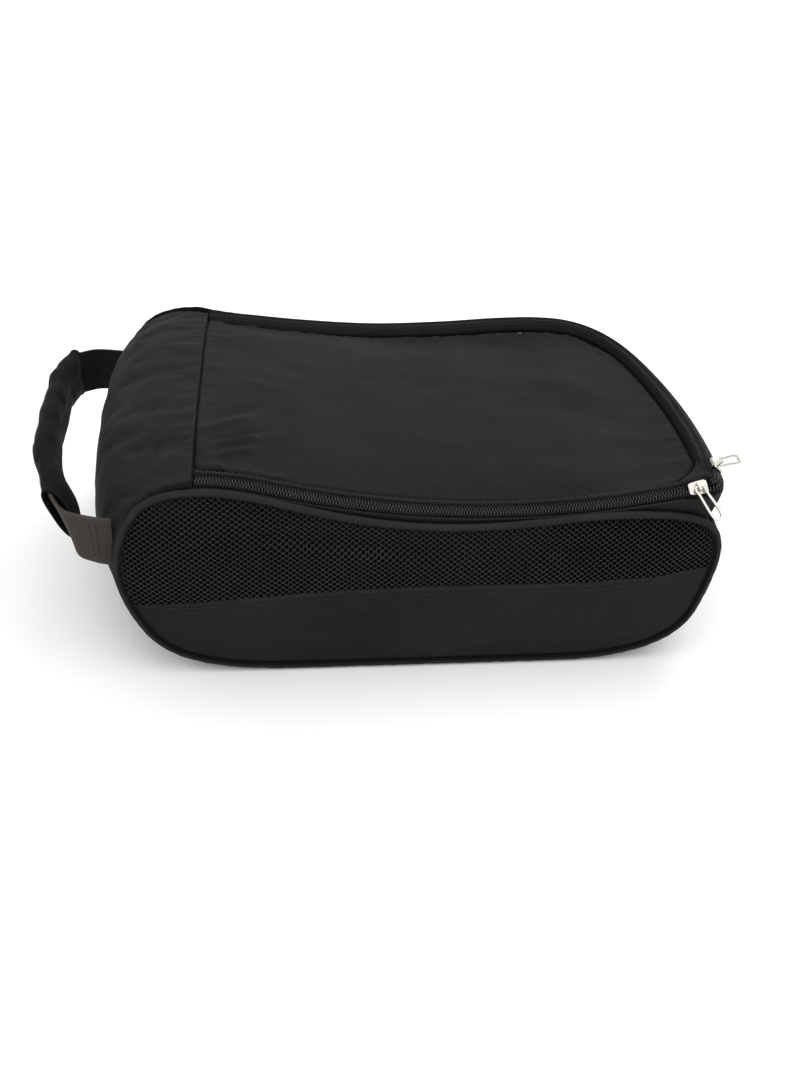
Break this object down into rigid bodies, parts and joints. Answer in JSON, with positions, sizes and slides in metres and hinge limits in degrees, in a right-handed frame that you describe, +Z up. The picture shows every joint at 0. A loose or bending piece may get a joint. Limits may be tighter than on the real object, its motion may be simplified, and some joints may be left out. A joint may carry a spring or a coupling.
{
  "type": "golf shoe bag",
  "caption": "Soft zipped shoe bag with mesh vent side panels, piped edges, a zip-round lid hinged at the heel seam and a padded carrying handle at the heel.",
  "frame": {"origin": "middle of the flat underside of the base", "axes": "+X from the heel, which holds the handle, to the toe, where the zip sliders rest; +Z up; the side at -Y has the zip leg that the near slider runs on"},
  "size_m": [0.3971, 0.243, 0.1282],
  "materials": {
    "fabric": "matte woven polyester",
    "lining": "matte lining",
    "mesh": "knitted net",
    "piping": "covered cord",
    "tape": "woven zip tape",
    "coil": "nylon coil",
    "webbing": "ribbed webbing",
    "foam": "foam",
    "board": "base stiffener",
    "nickel": "nickel plate"
  },
  "bodies": {
    "bag": {"heel_panel": "fabric", "toe_panel": "fabric", "base_panel": "fabric", "side_panel_near": "fabric", "side_panel_far": "fabric", "zip_band": "fabric", "heel_lining": "lining", "toe_lining": "lining", "base_lining": "lining", "side_lining_near": "lining", "side_lining_far": "lining", "side_mesh_near": "mesh", "side_mesh_far": "mesh", "piping_near": "piping", "piping_far": "piping", "body_zip_tape": "tape", "heel_seam_tape": "tape", "body_zip_coil": "coil", "handle_tab_near": "webbing", "handle_tab_far": "webbing", "base_board": "board"},
    "lid": {"lid_panel": "fabric", "lid_foam": "foam", "lid_lining": "lining", "lid_welt": "fabric", "lid_zip_tape": "tape", "lid_coil_near_leg": "coil", "lid_coil_corner": "coil", "lid_coil_far_leg": "coil"},
    "slider_near": {"slider_near": "nickel"},
    "slider_toe": {"slider_toe": "nickel"},
    "pull_near": {"pull_near": "nickel"},
    "pull_toe": {"pull_toe": "nickel"},
    "handle": {"handle_webbing": "webbing", "handle_grip": "fabric"}
  },
  "joints": [
    {"name": "lid_hinge", "type": "hinge", "parent": "bag", "child": "lid", "pos_m": [-0.121, 0, 0.1272], "axis": [0, -1, 0], "range_deg": [0, 145]},
    {"name": "near_slider_travel", "type": "hinge", "parent": "bag", "child": "slider_near", "pos_m": [0.038, -0.1045, 0.5716], "axis": [0, 1, 0], "range_deg": [0, 26.5]},
    {"name": "toe_slider_travel", "type": "hinge", "parent": "bag", "child": "slider_toe", "pos_m": [-0.3175, -0.035, 0.1124], "axis": [0, 0, 1], "range_deg": [0, 15]},
    {"name": "near_pull_swing", "type": "hinge", "parent": "slider_near", "child": "pull_near", "pos_m": [0.14433, -0.10701, 0.11274], "axis": [-0.9227, -0.1593, -0.351], "range_deg": [0, 152]},
    {"name": "toe_pull_swing", "type": "hinge", "parent": "slider_toe", "child": "pull_toe", "pos_m": [0.16223, -0.08667, 0.11539], "axis": [0.4628, -0.761, -0.4545], "range_deg": [0, 152]},
    {"name": "handle_swing", "type": "hinge", "parent": "bag", "child": "handle", "pos_m": [-0.182, 0, 0.083], "axis": [-0.0485, 0.9988, 0], "range_deg": [-30, 50], "stiffness_Nm_per_rad": 0.4, "springref_deg": 1.72}
  ]
}
